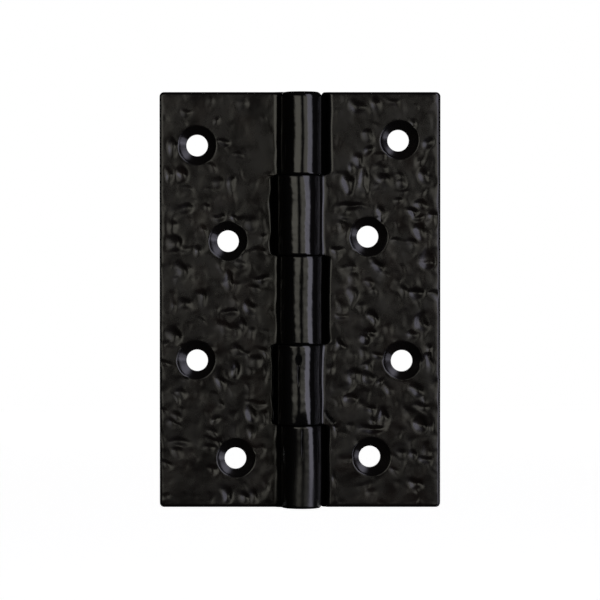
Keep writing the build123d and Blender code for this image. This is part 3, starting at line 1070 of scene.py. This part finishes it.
def black_paint():
    """Thick gloss black over iron: near black, a fine orange peel and slightly uneven gloss.

    Over the coarse casting it is browner and duller in patches. Where it is smooth it has fine upright
    streaks, and is duller near the foot. Painted shade, a dull near-black, covers it where its attribute is
    high.
    """
    material, start, shader = new_material("gloss_black_paint")
    place = start.node("ShaderNodeTexCoord", output="Object")
    up = start.node("ShaderNodeSeparateXYZ", output="Z", Vector=place)
    grain = start.node("ShaderNodeAttribute", {"attribute_name": "grain"}, output="Fac")
    painted_shade = start.node("ShaderNodeAttribute", {"attribute_name": "painted_shade"}, output="Fac")
    smooth = ramp(grain, *SMOOTH_GRAIN)

    cloud = noise(place, CLOUD_SCALE, detail=3.0, roughness=0.55)
    patch = ramp(noise(place, PATCH_SCALE), *PATCH_LIMITS)
    dull = ramp(up, *DULL_FOOT) * smooth
    cast_roughness = grain * (CAST_ROUGHNESS + patch * PATCH_ROUGHNESS)
    roughness = PAINT_ROUGHNESS + cloud * CLOUD_ROUGHNESS + cast_roughness + dull * FOOT_ROUGHNESS
    roughness.feed(shader, "Roughness")

    stain = ramp(noise(place, BROWN_SCALE), *BROWN_LIMITS)
    brown = grain * (BROWN_LEAST + (1 - BROWN_LEAST) * stain)
    tone = start.node("ShaderNodeMix", {"data_type": "RGBA"}, output=2, i0=brown, i6=BLACK, i7=CAST_BROWN)
    tone.feed(shader, "Base Color")

    upright = start.node("ShaderNodeVectorMath", {"operation": "MULTIPLY"}, i0=place, i1=STREAK_STRETCH)
    height = noise(place, PEEL_SCALE) + noise(upright, STREAK_SCALE) * smooth * STREAK_SHARE
    bump = start.node("ShaderNodeBump", Height=height, Strength=PEEL_STRENGTH, Distance=PEEL_DEPTH)
    bump.feed(shader, "Normal")
    shader.inputs["IOR"].default_value = PAINT_IOR

    # Painted shade: a dull near-black mixed in by the mesh's attribute, in place of shade and reflections
    painted_shade_shader = start.node("ShaderNodeBsdfDiffuse", Color=PAINTED_SHADE_BLACK)
    paint_surface = Socket(start.tree, shader.outputs[0])
    surface = start.node("ShaderNodeMixShader", i0=painted_shade, i1=paint_surface, i2=painted_shade_shader)
    surface.feed(find_node(start.tree, "OUTPUT_MATERIAL"), "Surface")
    return material


def place_piece(name, data, material, body, node):
    """Puts a finished mesh in the scene on its body, in place of its solid."""
    piece = bpy.data.objects.new(name, data)
    bpy.context.scene.collection.objects.link(piece)
    data.materials.append(material)
    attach(piece, body)
    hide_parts(node)


def aim(thing, round_front, rise, distance):
    """Puts a camera or a lamp in the scene, facing the hinge from degrees round from the front and up.

    It lies out by distance * (sin(turn) cos(lift), -cos(turn) cos(lift), sin(lift)).
    """
    turn = math.radians(round_front)
    lift = math.radians(rise)
    out = Vector((math.sin(turn) * math.cos(lift), -math.cos(turn) * math.cos(lift), math.sin(lift)))
    thing.location = out * distance
    thing.rotation_mode = "QUATERNION"
    thing.rotation_quaternion = (-out).to_track_quat("-Z", "Y")
    bpy.context.scene.collection.objects.link(thing)


def slant(up):
    """How far a soft box's upright edges lean: from -SLANT below to SLANT above, in degrees."""
    return 2 * SLANT * ramp(up, -SLANT, SLANT) - SLANT


def warm_shade(across, up):
    """Dark where the camera stands, fading below, brighter above, with slanting outer edges."""
    lean = slant(up)
    gap = ramp(across.maths("ABSOLUTE", across, 0.0), *WARM_GAP)
    left_edge = ramp(across + WARM_LEFT_SLANT * lean, *WARM_LEFT)
    right_edge = ramp(across + WARM_RIGHT_SLANT * lean, *WARM_RIGHT)
    above = (1 - WARM_TOP_SHARE) * ramp(up, *WARM_MIDDLE) + WARM_TOP_SHARE * ramp(up, *WARM_TOP)
    return gap * (left_edge * right_edge) * ramp(up, *WARM_FOOT) * above


def cool_shade(across, up):
    """A little weaker below and above, with slanting edges."""
    lean = slant(up)
    left_edge = ramp(across + COOL_LEFT_SLANT * lean, *COOL_LEFT)
    right_edge = ramp(across + COOL_RIGHT_SLANT * lean, *COOL_RIGHT)
    below = COOL_FOOT_SHARE + (1 - COOL_FOOT_SHARE) * ramp(up, *COOL_FOOT)
    return left_edge * right_edge * (below - COOL_DIP_SHARE * ramp(up, *COOL_DIP)) * ramp(up, *COOL_TOP)


def panel(name, left, right, low, high, radiance, colour, shade):
    """A soft box that faces the hinge: power = pi * area * radiance, times a shade across and up it.

    Its sides are in degrees, seen from the hinge, round from the front and up. shade takes the places across
    and up it, in degrees.
    """
    light = bpy.data.lights.new(name, "AREA")
    light.shape = "RECTANGLE"
    light.size = 2 * PANEL_DISTANCE * math.tan(math.radians((right - left) / 2))
    light.size_y = 2 * PANEL_DISTANCE * math.tan(math.radians((high - low) / 2))
    light.energy = math.pi * light.size * light.size_y * radiance
    light.color = colour
    light.use_nodes = True
    start = Socket(light.node_tree)
    spot = start.node("ShaderNodeNewGeometry", output="Parametric")
    across = start.node("ShaderNodeSeparateXYZ", output="X", Vector=spot)
    up = start.node("ShaderNodeSeparateXYZ", output="Y", Vector=spot)
    strength = shade(left + across * (right - left), low + up * (high - low))
    strength.feed(find_node(light.node_tree, "EMISSION"), "Strength")
    lamp = bpy.data.objects.new(name, light)
    lamp.visible_camera = False
    aim(lamp, (left + right) / 2, (low + high) / 2, PANEL_DISTANCE)


def sheet(name, points):
    """An open grid of points, in metres, as an object."""
    rows, columns = points.shape[:2]
    quads = grid_quads(np.arange(rows * columns).reshape(rows, columns))
    data = bpy.data.meshes.new(name)
    data.from_pydata(points.reshape(-1, 3).tolist(), [], quads.reshape(-1, 4).tolist())
    return bpy.data.objects.new(name, data)


def white_share(start):
    """1 for rays from the camera, from gloss and through glass, and 0 for the rest."""
    rays = ("Is Camera Ray", "Is Glossy Ray", "Is Transmission Ray")
    camera, glossy, through = [start.node("ShaderNodeLightPath", output=ray) for ray in rays]
    return start.maths("MINIMUM", camera + glossy + through, 1.0)


def white_room():
    """White surroundings for the camera, gloss and glass, that light the hinge only weakly."""
    world = bpy.context.scene.world or bpy.data.worlds.new("studio")
    bpy.context.scene.world = world
    world.use_nodes = True
    background = find_node(world.node_tree, "BACKGROUND")
    background.inputs["Color"].default_value = WHITE
    strength = ROOM_LIGHT + white_share(Socket(world.node_tree)) * (1 - ROOM_LIGHT)
    strength.feed(background, "Strength")


def pale_floor():
    """A flat grid behind and below the hinge."""
    across, deep = np.meshgrid(np.linspace(*FLOOR_ACROSS, FLOOR_LINES), np.linspace(*FLOOR_DEEP, FLOOR_LINES))
    floor = sheet("floor", np.stack([across, deep, np.full_like(across, FLOOR_HEIGHT)], -1))
    material, start, shader = new_material("pale_floor")
    shader.inputs["Base Color"].default_value = PALE
    shader.inputs["Roughness"].default_value = FLOOR_ROUGHNESS
    shader.inputs["Emission Color"].default_value = WHITE
    glow = white_share(start) * FLOOR_GLOW
    glow.feed(shader, "Emission Strength")
    floor.data.materials.append(material)
    return floor


def dark_studio():
    """The dark side of the studio behind the camera, as part of a ball round the hinge.

    Its points are radius * (sin(turn) cos(rise), -cos(turn) cos(rise), sin(rise)).
    """
    turns = np.radians(np.linspace(*STUDIO_ROUND, STUDIO_LINES[0]))
    rises = np.radians(np.linspace(*STUDIO_UP, STUDIO_LINES[1]))
    turn, rise = np.meshgrid(turns, rises)
    ball = np.stack([np.sin(turn) * np.cos(rise), -np.cos(turn) * np.cos(rise), np.sin(rise)], -1)
    dark = sheet("dark_studio", ball * STUDIO_RADIUS)
    material, _, shader = new_material("dark_cloth")
    shader.inputs["Base Color"].default_value = DARK_CLOTH
    shader.inputs["Roughness"].default_value = 1.0
    shader.inputs["Specular IOR Level"].default_value = 0.0
    dark.data.materials.append(material)
    dark.visible_camera = False
    return dark


def build_stage():
    """Pale floor below, white surroundings and the dark side of the studio behind the camera."""
    white_room()
    floor = pale_floor()
    dark = dark_studio()
    for stand in (floor, dark):
        bpy.context.scene.collection.objects.link(stand)


def aim_camera():
    """The photograph's view: straight on, a little above the middle, from about 0.9 m."""
    data = bpy.data.cameras.new("camera")
    data.sensor_width = SENSOR_WIDTH
    data.lens = data.sensor_width * (CAMERA_DISTANCE + FACE * MM) / (SEEN_WIDTH * MM)
    camera = bpy.data.objects.new("camera", data)
    aim(camera, 0, CAMERA_RISE, CAMERA_DISTANCE)
    bpy.context.scene.camera = camera


aim_camera()
build_stage()
panel("warm_left", left=-60, right=0, low=-12, high=30, radiance=1.56, colour=WARM, shade=warm_shade)
panel("warm_right", left=0, right=46, low=-12, high=30, radiance=1.3, colour=WARM, shade=warm_shade)
panel("cool_right", left=26, right=72, low=-25, high=55, radiance=2.6, colour=COOL, shade=cool_shade)

paint = black_paint()
left_cast = leaf_mesh("left_leaf_cast", LEFT_LEAF)
right_cast = leaf_mesh("right_leaf_cast", RIGHT_LEAF)
place_piece("left_leaf_cast", left_cast, paint, "fixed_side", "left_leaf")
place_piece("right_leaf_cast", right_cast, paint, "swinging_side", "right_leaf")
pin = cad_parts["hinge_pin"]
pin.data.materials.clear()
pin.data.materials.append(paint)

bpy.context.scene.view_settings.view_transform = "Standard"
